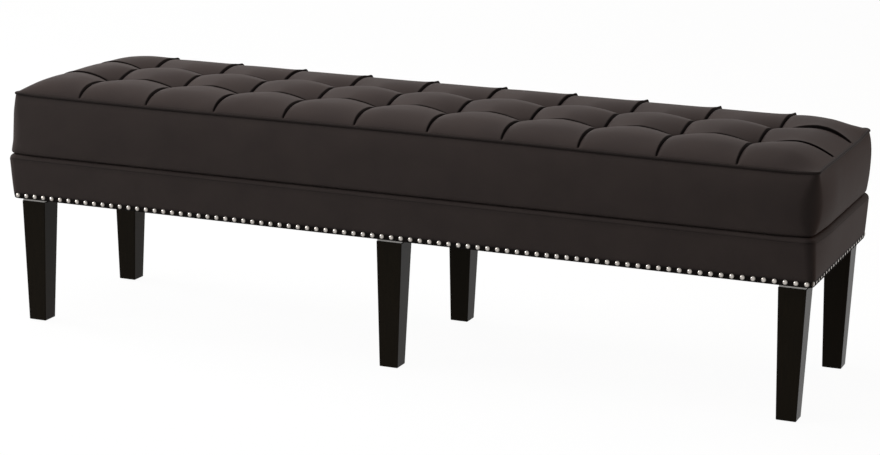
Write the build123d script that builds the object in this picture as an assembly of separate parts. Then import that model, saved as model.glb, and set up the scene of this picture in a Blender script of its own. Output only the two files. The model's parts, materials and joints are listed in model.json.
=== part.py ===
from build123d import *
import os
from math import atan2, ceil, cos, degrees, pi, radians, sin

# A long bench: a boxed seat cushion, tufted in rows of biscuits, on a padded rail frame with six tapered legs.
# Millimetres. The origin is on the floor under the middle of the bench.
# X runs along the bench, the front faces -Y, and Z is up.

# Wooden frame
frame_length = 1580.0
frame_depth = 416.0
rail_height = 85.0
rail_thickness = 18.0
block_side = 62.0
block_bevel = 30.0
block_height = 60.0
centre_beam_width = 62.0
cross_rail_width = 22.0
cross_rail_station = 400.0
cleat_width = 20.0
cleat_height = 18.0
cleat_end_gap = 20.0
deck_thickness = 12.0
deck_corner = 15.0

# Legs and their fittings
leg_height = 244.0
leg_top_width = 48.0
leg_foot_width = 34.0
leg_inset = 3.0
leg_edge = 1.2
plate_thickness = 4.5
plate_window_rim = 4.0
bolt_radius = 4.0
bolt_in_leg = 40.0
bolt_above_plate = 8.0
bolt_room = 2.0
glide_radius = 11.0
glide_sides = 12
glide_thickness = 2.0
glide_nail_radius = 1.5
glide_nail_length = 12.0

# Dowels in the frame's corners
rod_sides = 8
dowel_radius = 4.0
dowel_in_rail = 12.0
dowel_in_end = 24.0
dowel_low = 30.0
dowel_high = 66.0

# Fits
fastener_fit = 0.05
dowel_end_room = 1.0
soft_gap = 0.3

# Covers and padding
cover_thickness = 1.5
dust_thickness = 0.8
dust_margin = 8.0
hem_width = 20.0
foot_swell = 9.0
shoulder_swell = 14.0
rail_corner = 12.0
roll_radius = 9.0
roll_steps = 3

# Sides of the seat cushion: height above the waist, swell beyond the frame, corner radius
cushion_profile = [
    (0.0, 6.0, 17.0),
    (8.0, 11.0, 25.0),
    (56.0, 13.0, 34.0),
    (95.0, 9.0, 22.0),
    (113.0, 3.0, 12.0),
]
welt_radius = 3.0
welt_sides = 6

# Tufted top, as rises above the welt
tuft_columns = 11
tuft_rows = 3
saddle_rise = 18.0
column_swell = 9.0
edge_row_swell = 7.0
inner_row_swell = 11.5
edge_fullness = 0.45
edge_roll = 12.0
crown_share = 0.32
well_rise = 5.0
well_radius = 13.0
biscuit_seam = 16.0
button_radius = 10.5
button_top_radius = 6.5
button_height = 4.5
button_sides = 8
stem_radius = 3.0
stem_below_panel = 3.0
stem_in_button = 1.0
tie_width = 2.4
tie_hole_radius = 4.0
tie_hole_sides = 6
toggle_radius = 9.0
toggle_thickness = 3.0
toggle_sides = 6

# Nail heads along the foot of the lower cover
nail_pitch = 19.05
nail_level = 7.2
nail_radius = 4.75
nail_top_radius = 2.6
nail_height = 2.6
nail_sides = 6

# Levels, from the floor up
leg_bottom = glide_thickness
leg_top = leg_bottom + leg_height
plate_top = leg_top + plate_thickness
cover_foot = plate_top + dust_thickness
frame_bottom = cover_foot + cover_thickness
frame_top = frame_bottom + rail_height
waist = frame_top + cover_thickness
deck_bottom = waist + cover_thickness
deck_top = deck_bottom + deck_thickness
band_height, seam_swell, seam_corner = cushion_profile[-1]
band_top = waist + band_height
welt_level = band_top + welt_radius
panel_bottom = band_top + soft_gap

# Places that several pieces share
half_length = frame_length / 2
half_depth = frame_depth / 2
inner_half_length = half_length - rail_thickness
inner_half_depth = half_depth - rail_thickness
leg_x = half_length - leg_inset - leg_top_width / 2
leg_y = half_depth - leg_inset - leg_top_width / 2
leg_places = {
    "front_left": (-leg_x, -leg_y),
    "front_centre": (0.0, -leg_y),
    "front_right": (leg_x, -leg_y),
    "rear_left": (-leg_x, leg_y),
    "rear_centre": (0.0, leg_y),
    "rear_right": (leg_x, leg_y),
}
cross_stations = {"left": -cross_rail_station, "centre": 0.0, "right": cross_rail_station}
corner_signs = {"front_left": (-1, -1), "front_right": (1, -1), "rear_left": (-1, 1), "rear_right": (1, 1)}
panel_length = frame_length + 2 * (seam_swell - welt_radius - soft_gap)
panel_depth = frame_depth + 2 * (seam_swell - welt_radius - soft_gap)
panel_corner = seam_corner - welt_radius - soft_gap
column_pitch = panel_length / tuft_columns
row_pitch = panel_depth / tuft_rows
tuft_places = [
    (-panel_length / 2 + column * column_pitch, -panel_depth / 2 + row * row_pitch)
    for column in range(1, tuft_columns)
    for row in range(1, tuft_rows)
]


def upright(radius, low, high, x=0.0, y=0.0, sides=rod_sides):
    """A vertical faceted rod between two heights."""
    return Pos(x, y, low) * extrude(RegularPolygon(radius, sides), high - low)


def block(x_span, y_span, z_span):
    """A box between two corners, given as spans along each axis."""
    size = [span[1] - span[0] for span in (x_span, y_span, z_span)]
    return Pos(x_span[0], y_span[0], z_span[0]) * Box(*size, align=(Align.MIN, Align.MIN, Align.MIN))


def slab(length, depth, corner, low, high):
    """A flat rounded slab centred on the bench, between two heights."""
    return Pos(0, 0, low) * extrude(RectangleRounded(length, depth, corner), high - low)


def drilled(piece, tools):
    """The piece with every tool cut out of it."""
    return piece.cut(*tools)


def frustum(low_radius, high_radius, height, sides):
    """A short faceted cone standing on the origin."""
    lean = degrees(atan2((low_radius - high_radius) * cos(pi / sides), height))
    return extrude(RegularPolygon(low_radius, sides), height, taper=lean)


# Frame joints: dowels at the four corners

def dowel_places():
    """Where each corner dowel enters: its X, the side it is on, and its height."""
    end_x = half_length - rail_thickness / 2
    levels = (frame_bottom + dowel_low, frame_bottom + dowel_high)
    return [(side * end_x, face, level) for side in (-1, 1) for face in (-1, 1) for level in levels]


def dowels(radius, room):
    """Dowels, or the holes for them, across the joints between long rails and end rails."""
    made = []
    for x, face, level in dowel_places():
        start = (x, face * (inner_half_depth + dowel_in_rail + room), level)
        length = dowel_in_rail + dowel_in_end + 2 * room
        place = Plane(origin=start, z_dir=(0, -face, 0)).location
        made.append(place * extrude(RegularPolygon(radius, rod_sides), length))
    return made


def leg_bolts(radius, low, high):
    """A vertical bolt, or the hole for it, over the middle of every leg."""
    return [upright(radius, low, high, x, y) for x, y in leg_places.values()]


wood_holes = dowels(dowel_radius + fastener_fit, dowel_end_room) + leg_bolts(
    bolt_radius + bolt_room, frame_bottom, plate_top + bolt_above_plate + bolt_room
)


# Frame pieces

def long_rail(side):
    """The front rail (side -1) or the rear rail (side 1)."""
    y_span = sorted((side * inner_half_depth, side * half_depth))
    return block((-half_length, half_length), y_span, (frame_bottom, frame_top))


def end_rail(side):
    """The left end rail (side -1) or the right one (side 1), between the long rails."""
    x_span = sorted((side * inner_half_length, side * half_length))
    return block(x_span, (-inner_half_depth, inner_half_depth), (frame_bottom, frame_top))


def cross_rail(station, width):
    """A rail across the frame, flush with its underside."""
    x_span = (station - width / 2, station + width / 2)
    return block(x_span, (-inner_half_depth, inner_half_depth), (frame_bottom, frame_bottom + block_height))


def corner_block(side_x, side_y):
    """A block in a frame corner, with its inner corner bevelled off."""
    far = block_side - block_bevel
    outline = Polyline(
        (0, 0), (block_side, 0), (block_side, far), (far, block_side), (0, block_side), close=True
    )
    points = [
        (side_x * (inner_half_length - point.X), side_y * (inner_half_depth - point.Y))
        for point in outline.vertices()
    ]
    return Pos(0, 0, frame_bottom) * extrude(make_face(Polyline(*points, close=True)), block_height)


def cleat(side):
    """A batten inside a long rail, under the deck's edge."""
    reach = inner_half_length - cleat_end_gap
    y_span = sorted((side * (inner_half_depth - cleat_width), side * inner_half_depth))
    return block((-reach, reach), y_span, (frame_top - cleat_height, frame_top))


def deck_board():
    """The plywood deck, with a hole for each tuft's tie."""
    board = slab(frame_length, frame_depth, deck_corner, deck_bottom, deck_top)
    holes = [upright(tie_hole_radius, deck_bottom, deck_top, x, y, tie_hole_sides) for x, y in tuft_places]
    return drilled(board, holes)


# Legs

def leg(x, y):
    """A square leg that tapers to its foot, with softened edges, bored for its bolt and glide."""
    lean = degrees(atan2((leg_top_width - leg_foot_width) / 2, leg_height))
    taper = extrude(Rectangle(leg_top_width, leg_top_width), leg_height, taper=lean)
    softened = chamfer(taper.edges().sort_by(SortBy.LENGTH)[-4:], leg_edge)
    bolt_hole = upright(bolt_radius + fastener_fit, leg_top - bolt_in_leg - fastener_fit, leg_top, x, y)
    nail_top = leg_bottom + glide_nail_length + fastener_fit
    nail_hole = upright(glide_nail_radius + fastener_fit, leg_bottom, nail_top, x, y)
    return drilled(Pos(x, y, leg_top) * Rot(X=180) * softened, [bolt_hole, nail_hole])


def leg_plate(x, y):
    """A steel plate between a leg and the frame, clamped by the leg's bolt."""
    half = leg_top_width / 2
    plate = block((x - half, x + half), (y - half, y + half), (leg_top, plate_top))
    return drilled(plate, leg_bolts(bolt_radius + fastener_fit, leg_top, plate_top))


def glide(x, y):
    """A nailed disc under a foot."""
    disc = upright(glide_radius, 0, glide_thickness, x, y, glide_sides)
    return disc + upright(glide_nail_radius, 0, leg_bottom + glide_nail_length, x, y)


def plate_windows(low, high):
    """The openings in the underside cloths through which the plates are fixed."""
    half = leg_top_width / 2 - plate_window_rim
    return [block((x - half, x + half), (y - half, y + half), (low, high)) for x, y in leg_places.values()]


# Lower cover and its padding

def rounded(level, swell, corner):
    """A rounded outline at a height, standing out from the frame by a swell."""
    return Pos(0, 0, level) * RectangleRounded(frame_length + 2 * swell, frame_depth + 2 * swell, corner)


def rail_swell(level):
    """How far the side of the lower cover stands outside the frame at a height."""
    share = (level - cover_foot) / (waist - roll_radius - cover_foot)
    return foot_swell + (shoulder_swell - foot_swell) * share


def rail_form(inset, low):
    """The outside of the lower cover drawn in by an inset, leaning out and rolled over at its top."""
    stations = [(low, rail_swell(low) - inset)]
    for step in range(roll_steps + 1):
        turn = radians(90 * step / roll_steps)
        reach = roll_radius - inset
        level = waist - roll_radius + reach * sin(turn)
        stations.append((level, shoulder_swell - roll_radius + reach * cos(turn)))
    corner = rail_corner - foot_swell
    return loft([rounded(level, swell, corner + swell) for level, swell in stations], ruled=True)


def rail_cover():
    """The lower cover, turned in over and under the rails."""
    inner = rail_form(cover_thickness, frame_bottom)
    mouth = slab(
        frame_length - 2 * hem_width, frame_depth - 2 * hem_width, rail_corner, cover_foot, waist
    )
    return drilled(rail_form(0, cover_foot), [inner, mouth] + plate_windows(cover_foot, frame_bottom))


def rail_pads():
    """The padding on the four rails, mitred at the corners."""
    frame = block((-half_length, half_length), (-half_depth, half_depth), (frame_bottom, frame_top))
    ring = rail_form(cover_thickness + soft_gap, frame_bottom + soft_gap).cut(frame)
    reach = shoulder_swell
    corners = {
        "front": [(-half_length, -half_depth), (half_length, -half_depth)],
        "rear": [(half_length, half_depth), (-half_length, half_depth)],
        "left_end": [(-half_length, half_depth), (-half_length, -half_depth)],
        "right_end": [(half_length, -half_depth), (half_length, half_depth)],
    }
    pads = {}
    for name, ((x1, y1), (x2, y2)) in corners.items():
        outer = [(x + reach * (1 if x > 0 else -1), y + reach * (1 if y > 0 else -1)) for x, y in ((x2, y2), (x1, y1))]
        wedge = make_face(Polyline((x1, y1), (x2, y2), *outer, close=True))
        pads[f"{name}_rail_pad"] = ring & (Pos(0, 0, frame_bottom) * extrude(wedge, rail_height))
    return pads


def dust_cover():
    """The thin cloth that closes the underside."""
    cloth = slab(
        frame_length - 2 * dust_margin, frame_depth - 2 * dust_margin, rail_corner, plate_top, cover_foot
    )
    return drilled(cloth, plate_windows(plate_top, cover_foot))


def nail_row(start, end, outward):
    """Nail heads in a row, seated on the sloping foot of the lower cover."""
    first = Vector(*start)
    span = Vector(*end) - first
    gaps = ceil(span.length / nail_pitch)
    slope = atan2(shoulder_swell - foot_swell, waist - roll_radius - cover_foot)
    face = Plane(origin=(0, 0, 0), x_dir=(-outward[1], outward[0], 0), z_dir=outward)
    head = face.location * Rot(X=degrees(slope)) * frustum(nail_radius, nail_top_radius, nail_height, nail_sides)
    return [Pos(*(first + span * (step / gaps))) * head for step in range(gaps + 1)]


def nail_rows():
    """A row of nail heads on each side of the bench, as long as the frame."""
    level = cover_foot + nail_level
    x = half_length + rail_swell(level)
    y = half_depth + rail_swell(level)
    return {
        "front_nails": nail_row((-half_length, -y, level), (half_length, -y, level), (0, -1, 0)),
        "rear_nails": nail_row((half_length, y, level), (-half_length, y, level), (0, 1, 0)),
        "left_end_nails": nail_row((-x, half_depth, level), (-x, -half_depth, level), (-1, 0, 0)),
        "right_end_nails": nail_row((x, -half_depth, level), (x, half_depth, level), (1, 0, 0)),
    }


# Seat cushion

def cushion_at(height):
    """The swell and corner radius of the cushion's side at a height above the waist."""
    for (low, *first), (high, *last) in zip(cushion_profile, cushion_profile[1:]):
        if height <= high:
            share = (height - low) / (high - low)
            return [a + (b - a) * share for a, b in zip(first, last)]
    return cushion_profile[-1][1:]


def cushion_form(inset, low, high):
    """The boxed sides of the cushion between two levels, shrunk by an inset."""
    heights = [low - waist] + [height for height, *_ in cushion_profile if low < waist + height < high]
    heights.append(high - waist)
    sections = []
    for height in heights:
        swell, corner = cushion_at(height)
        sections.append(rounded(waist + height, swell - inset, corner - inset))
    return loft(sections, ruled=True)


def border_band():
    """The band round the cushion's sides, turned in under the deck."""
    inner = cushion_form(cover_thickness, deck_bottom, band_top)
    mouth = slab(
        frame_length - 2 * hem_width, frame_depth - 2 * hem_width, deck_corner, waist, deck_bottom
    )
    return drilled(cushion_form(0, waist, band_top), [inner, mouth])


def top_welt():
    """The piped seam round the top of the band."""
    path = rounded(welt_level, seam_swell, seam_corner).wire()
    section = Plane(origin=path @ 0, z_dir=path % 0) * RegularPolygon(welt_radius, welt_sides)
    return sweep(section, path=path)


def slices(length, cells):
    """Slices along one side of the panel, as (cell, share of the cell, place, edge fullness)."""
    pitch = length / cells
    roll = edge_roll / pitch
    made = []
    for cell in range(cells):
        for share in (0.0, roll, crown_share, 1 - crown_share, 1 - roll):
            fullness = edge_fullness if cell + share < 0.5 or cell + share > cells - 0.5 else 1.0
            inside = crown_share <= cell + share <= cells - crown_share
            made.append((cell, share, (cell + share) * pitch - length / 2, 1.0 if inside else fullness))
    made[0] = (0, 0.0, -length / 2, 0.0)
    made.append((cells - 1, 1.0, length / 2, 0.0))
    return made


def swell_at(share, crest):
    """The swell a share of the way across a cell, from pleat to pleat, flat over its crown."""
    return crest * min(1.0, share * (1 - share) / (crown_share * (1 - crown_share)))


def row_crest(row):
    """How much a row swells between its pleats."""
    return edge_row_swell if row in (0, tuft_rows - 1) else inner_row_swell


def biscuit_line(across, x, column_fullness):
    """The top's line across the bench at one slice, from front to rear."""
    cut_back = 1 if column_fullness else 1 - 2 * panel_corner / panel_depth
    line = []
    for row, deep, y, row_fullness in slices(panel_depth, tuft_rows):
        full_rise = saddle_rise + swell_at(across, column_swell) + swell_at(deep, row_crest(row))
        line.append((x, y * cut_back, welt_level + full_rise * column_fullness * row_fullness))
    return line


def biscuit_form():
    """The tufted top without its wells: a loft from slice to slice, over a flat underside."""
    sections = []
    for _, across, x, fullness in slices(panel_length, tuft_columns):
        line = biscuit_line(across, x, fullness)
        floor = [(x, line[end][1], panel_bottom) for end in (-1, 0)]
        sections.append(make_face(Polyline(*line, *floor, close=True)))
    return loft(sections, ruled=True)


def biscuit_fill(column, row, spare):
    """The stuffing of one biscuit, or with a spare the room for it, narrowing from the foam to the crown."""
    x = (column + 0.5) * column_pitch - panel_length / 2
    y = (row + 0.5) * row_pitch - panel_depth / 2
    crown = welt_level + saddle_rise + column_swell + row_crest(row)
    height = crown - cover_thickness - soft_gap + spare - panel_bottom
    seam = biscuit_seam - spare
    lean = degrees(atan2(crown_share * column_pitch - seam, height))
    base = Rectangle(column_pitch - 2 * seam, row_pitch - 2 * seam)
    return Pos(x, y, panel_bottom) * extrude(base, height, taper=lean)


def biscuit_fills(spare):
    """The stuffing, or the room for it, of every biscuit."""
    return [biscuit_fill(column, row, spare) for column in range(tuft_columns) for row in range(tuft_rows)]


def top_cover():
    """The tufted top panel, hollow under each biscuit, with a well and a stem's hole at each tuft."""
    floor = welt_level + well_rise
    high = welt_level + saddle_rise + column_swell + inner_row_swell
    wells = [upright(well_radius, floor, high, x, y) for x, y in tuft_places]
    holes = [upright(stem_radius + soft_gap, panel_bottom, floor, x, y) for x, y in tuft_places]
    return drilled(biscuit_form(), wells + holes + biscuit_fills(soft_gap))


def seat_foam():
    """The foam slab inside the band, over and round the deck, with a channel for each tie."""
    body = cushion_form(cover_thickness + soft_gap, deck_bottom + soft_gap, band_top)
    room = slab(
        frame_length + 2 * soft_gap, frame_depth + 2 * soft_gap, deck_corner, waist, deck_top
    )
    channels = [upright(tie_hole_radius, deck_top, band_top, x, y, tie_hole_sides) for x, y in tuft_places]
    return drilled(body, [room] + channels)


def tuft_button(x, y):
    """A covered button in a tuft's well, with the stem that its tie holds."""
    seat = welt_level + well_rise
    cap = Pos(x, y, seat) * frustum(button_radius, button_top_radius, button_height, button_sides)
    return cap + upright(stem_radius, panel_bottom - stem_below_panel, seat + stem_in_button, x, y)


def tuft_tie(x, y):
    """The tie from a button's stem down through the foam and the deck."""
    half = tie_width / 2
    span = (deck_bottom, panel_bottom - stem_below_panel)
    return block((x - half, x + half), (y - half, y + half), span)


def tie_toggle(x, y):
    """The disc under the deck that holds a tie."""
    return upright(toggle_radius, deck_bottom - toggle_thickness, deck_bottom, x, y, toggle_sides)


def group(solids):
    """Separate solids kept together as one node."""
    return Compound(list(solids))


def all_nodes():
    """Every piece of the bench by name."""
    nodes = {
        "front_rail": drilled(long_rail(-1), wood_holes),
        "rear_rail": drilled(long_rail(1), wood_holes),
        "left_end_rail": drilled(end_rail(-1), wood_holes),
        "right_end_rail": drilled(end_rail(1), wood_holes),
        "front_deck_cleat": cleat(-1),
        "rear_deck_cleat": cleat(1),
        "deck_board": deck_board(),
        "corner_dowels": group(dowels(dowel_radius, 0)),
        "leg_plates": group(leg_plate(x, y) for x, y in leg_places.values()),
        "leg_bolts": group(leg_bolts(bolt_radius, leg_top - bolt_in_leg, plate_top + bolt_above_plate)),
        "leg_glides": group(glide(x, y) for x, y in leg_places.values()),
        "rail_cover": rail_cover(),
        "dust_cover": dust_cover(),
        "border_band": border_band(),
        "top_welt": top_welt(),
        "top_cover": top_cover(),
        "biscuit_fills": group(biscuit_fills(0)),
        "seat_foam": seat_foam(),
        "tuft_buttons": group(tuft_button(x, y) for x, y in tuft_places),
        "tuft_ties": group(tuft_tie(x, y) for x, y in tuft_places),
        "tie_toggles": group(tie_toggle(x, y) for x, y in tuft_places),
    }
    for name, station in cross_stations.items():
        width = centre_beam_width if name == "centre" else cross_rail_width
        nodes[f"{name}_cross_rail"] = drilled(cross_rail(station, width), wood_holes)
    for name, (side_x, side_y) in corner_signs.items():
        nodes[f"{name}_corner_block"] = drilled(corner_block(side_x, side_y), wood_holes)
    for name, (x, y) in leg_places.items():
        nodes[f"{name}_leg"] = leg(x, y)
    for name, heads in nail_rows().items():
        nodes[name] = group(heads)
    nodes.update(rail_pads())
    return nodes


os.makedirs("parts", exist_ok=True)
for node, shape in all_nodes().items():
    export_step(shape, f"parts/{node}.step")
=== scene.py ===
"""A long upholstered bench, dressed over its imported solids.

Sizes are in millimetres in the classes and in metres in the meshes. The floor is at z = 0,
+X is the right end and the front is at -Y.
"""

import json
import logging
import math
from dataclasses import dataclass, field
from enum import Enum

import bpy
import numpy as np
from mathutils import Matrix, Vector

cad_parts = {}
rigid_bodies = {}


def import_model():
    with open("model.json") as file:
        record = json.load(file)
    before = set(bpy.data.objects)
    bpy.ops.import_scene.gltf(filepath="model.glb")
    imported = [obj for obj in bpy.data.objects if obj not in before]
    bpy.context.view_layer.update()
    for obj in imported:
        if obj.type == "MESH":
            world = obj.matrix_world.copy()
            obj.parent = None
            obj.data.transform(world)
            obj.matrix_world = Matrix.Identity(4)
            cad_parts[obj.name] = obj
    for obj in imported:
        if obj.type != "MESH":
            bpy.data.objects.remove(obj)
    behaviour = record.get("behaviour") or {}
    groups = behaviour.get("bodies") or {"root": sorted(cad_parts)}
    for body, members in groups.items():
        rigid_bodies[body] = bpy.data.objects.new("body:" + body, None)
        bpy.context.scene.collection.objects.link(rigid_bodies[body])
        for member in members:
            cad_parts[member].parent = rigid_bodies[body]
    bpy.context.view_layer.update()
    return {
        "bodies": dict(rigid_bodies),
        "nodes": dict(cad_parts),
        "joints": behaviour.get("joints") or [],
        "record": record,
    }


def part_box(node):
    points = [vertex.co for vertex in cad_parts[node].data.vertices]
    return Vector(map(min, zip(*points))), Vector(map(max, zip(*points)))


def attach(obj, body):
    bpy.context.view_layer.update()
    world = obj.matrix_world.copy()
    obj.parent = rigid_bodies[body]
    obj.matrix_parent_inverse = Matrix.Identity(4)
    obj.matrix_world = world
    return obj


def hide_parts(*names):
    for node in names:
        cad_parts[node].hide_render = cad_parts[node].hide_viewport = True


MM = 0.001
FAR = 1e3  # how far off a fold is where there is none
LOG = logging.getLogger("bench")


class Slot(Enum):
    """The record's material slots that show."""

    LEATHER = "leather"
    LACQUER = "black_lacquer"
    NICKEL = "nickel"
    WOOD = "frame_wood"
    CLOTH = "black_cloth"
    STEEL = "steel"
    PLASTIC = "glide_plastic"


class Side(Enum):
    """The bench's four sides, each with the turn that faces a nail head outwards, in degrees."""

    FRONT = ("front", (90.0, 0.0, 0.0))
    REAR = ("rear", (-90.0, 0.0, 0.0))
    LEFT = ("left_end", (0.0, -90.0, 0.0))
    RIGHT = ("right_end", (0.0, 90.0, 0.0))


# ---------------------------------------------------------------- small tools


def linear(colour: str) -> tuple[float, float, float, float]:
    """Turns an sRGB hex colour into linear RGBA.

    Args:
        colour: the colour as "#rrggbb".

    Returns:
        Red, green, blue and alpha from 0 to 1.
    """
    parts = [int(colour[i : i + 2], 16) / 255 for i in (1, 3, 5)]
    light = [p / 12.92 if p <= 0.04045 else ((p + 0.055) / 1.055) ** 2.4 for p in parts]
    return (light[0], light[1], light[2], 1.0)


def add_node(
    tree: bpy.types.NodeTree, kind: str, inputs: dict | None = None, **settings: object
) -> bpy.types.NodeOutputs:
    """Adds a node with its settings, constants and links.

    Args:
        tree: the tree that the node goes into.
        kind: the node's type name.
        inputs: for each input, by name or number, a constant or the socket to link from.
        **settings: the node's own properties.

    Returns:
        The new node's outputs.
    """
    node = tree.nodes.new(kind)
    for name, value in settings.items():
        setattr(node, name, value)
    for name, value in (inputs or {}).items():
        if isinstance(value, bpy.types.NodeSocket):
            tree.links.new(value, node.inputs[name])
        else:
            node.inputs[name].default_value = value
    return node.outputs


def box_mm(node: str) -> tuple[np.ndarray, np.ndarray]:
    """Gives a node's lowest and highest corners in millimetres."""
    low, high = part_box(node)
    return np.array(low) / MM, np.array(high) / MM


def new_piece(
    name: str, points: np.ndarray, faces: list, material: bpy.types.Material
) -> bpy.types.Object:
    """Makes a smooth mesh object from points in millimetres.

    Args:
        name: the piece's name.
        points: the corners.
        faces: lists of corner numbers, anticlockwise from outside.
        material: the finish.

    Returns:
        The object, linked to the scene.
    """
    mesh = bpy.data.meshes.new(name)
    mesh.from_pydata((np.asarray(points).reshape(-1, 3) * MM).tolist(), [], faces)
    mesh.polygons.foreach_set("use_smooth", [True] * len(mesh.polygons))
    mesh.materials.append(material)
    mesh.update()
    piece = bpy.data.objects.new(name, mesh)
    bpy.context.collection.objects.link(piece)
    return piece


def ring_piece(
    name: str, stations: list[np.ndarray], closed: bool, material: bpy.types.Material
) -> bpy.types.Object:
    """Makes a smooth mesh object from rings stacked on each other.

    Args:
        name: the piece's name.
        stations: the rings, with as many points in each.
        closed: whether the last ring joins the first. If not, the stack has flat ends.
        material: the finish.

    Returns:
        The object, linked to the scene.
    """
    count, around = len(stations), len(stations[0])
    faces = []
    for i in range(count if closed else count - 1):
        low, high = i * around, (i + 1) % count * around
        for j in range(around):
            k = (j + 1) % around
            faces.append((low + j, low + k, high + k, high + j))
    if not closed:
        faces.append(tuple(reversed(range(around))))
        faces.append(tuple(range((count - 1) * around, count * around)))
    return new_piece(name, np.vstack(stations), faces, material)


def grid_faces(shape: tuple[int, ...]) -> list:
    """Lists the faces of a grid of points.

    Args:
        shape: how many rows of points, and how many in each.

    Returns:
        The faces, which look up.
    """
    number = np.arange(math.prod(shape)).reshape(shape)
    corners = [number[:-1, :-1], number[:-1, 1:], number[1:, 1:], number[1:, :-1]]
    return np.dstack(corners).reshape(-1, 4).tolist()


def paint_crease_shade(piece: bpy.types.Object, dark: np.ndarray) -> None:
    """Notes each corner's painted shade, from 0 to 1, for the leather's finish to darken it by."""
    layer = piece.data.attributes.new("painted_crease_shade", "FLOAT", "POINT")
    layer.data.foreach_set("value", dark.astype(np.float32))


def settle(piece: bpy.types.Object, slot: Slot, *nodes: str) -> None:
    """Fixes a finished piece to the bench in place of its solids.

    Args:
        piece: the object.
        slot: the record's slot of its finish; not used.
        *nodes: the solids that it stands for.
    """
    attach(piece, "root")
    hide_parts(*nodes)
    LOG.info("%s stands for %s", piece.name, ", ".join(nodes))


def smooth_line(knots: np.ndarray, count: int) -> np.ndarray:
    """Runs a smooth line through knots.

    Args:
        knots: the points to pass through, one row each.
        count: how many points to give for each gap between knots.

    Returns:
        The points of the line.
    """
    padded = np.vstack([2 * knots[0] - knots[1], knots, 2 * knots[-1] - knots[-2]])
    share = np.linspace(0, 1, count, endpoint=False)[:, None]
    made = []
    for a, b, c, d in zip(padded, padded[1:], padded[2:], padded[3:]):
        bend = (2 * a - 5 * b + 4 * c - d) * share**2 + (3 * b - a - 3 * c + d) * share**3
        made.append(0.5 * (2 * b + (c - a) * share + bend))
    return np.vstack(made + [knots[-1:]])


@dataclass(frozen=True)
class Plan:
    """The bench from above: a rectangle with round corners, walked anticlockwise. Its front
    right corner can be drawn in, over a run along and a run across the bench."""

    half_length: float
    half_depth: float
    long_steps: int = 150
    short_steps: int = 44
    corner_steps: int = 12
    drawn_run: tuple[float, float] = (150.0, 130.0)

    @classmethod
    def of_frame(cls) -> "Plan":
        """Reads the outline of the rails, which covers and trim are pushed out from."""
        return cls(box_mm("front_rail")[1][0], box_mm("rear_rail")[1][1])

    def ring(self, swell: float, corner: float, ends: tuple[float, float]) -> np.ndarray:
        """Gives the outline pushed out from the frame.

        Args:
            swell: how far outside the frame it runs.
            corner: its corner radius.
            ends: how much further the left and the right end reach.

        Returns:
            Points in x and y, the same number for every ring.
        """
        reach = np.array([self.half_length + swell, self.half_depth + swell])
        inner = reach - corner
        made = []
        for quarter in range(4):
            turn = math.radians(90 * quarter - 90)
            out = np.array([math.cos(turn), math.sin(turn)])
            along = np.array([-out[1], out[0]])
            steps = self.short_steps if quarter % 2 else self.long_steps
            half = inner[1] if quarter % 2 else inner[0]
            far = reach[0] if quarter % 2 else reach[1]
            share = np.linspace(-1, 1, steps, endpoint=False)[:, None]
            made.append(out * far + along * half * share)
            angle = turn + np.linspace(0, math.pi / 2, self.corner_steps, endpoint=False)
            middle = inner * np.sign(np.round(out + along))
            made.append(middle + corner * np.column_stack([np.cos(angle), np.sin(angle)]))
        outline = np.vstack(made)
        further = np.where(outline[:, 0] < 0, ends[0], ends[1])
        outline[:, 0] *= 1 + further / reach[0]
        return outline

    def draw_in(self, x: np.ndarray, y: np.ndarray, lean: float) -> np.ndarray:
        """Draws an outline's front right corner in, as the photograph shows it.

        Args:
            x: the outline's places along the bench.
            y: its places across it.
            lean: how far the corner comes in.

        Returns:
            The places along the bench, drawn in.
        """
        right = np.clip(1 - (x.max() - x) / self.drawn_run[0], 0, 1)
        front = np.clip(1 - (y - y.min()) / self.drawn_run[1], 0, 1)
        return x - lean * (right * front) ** 2


# ---------------------------------------------------------------- finishes


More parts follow.
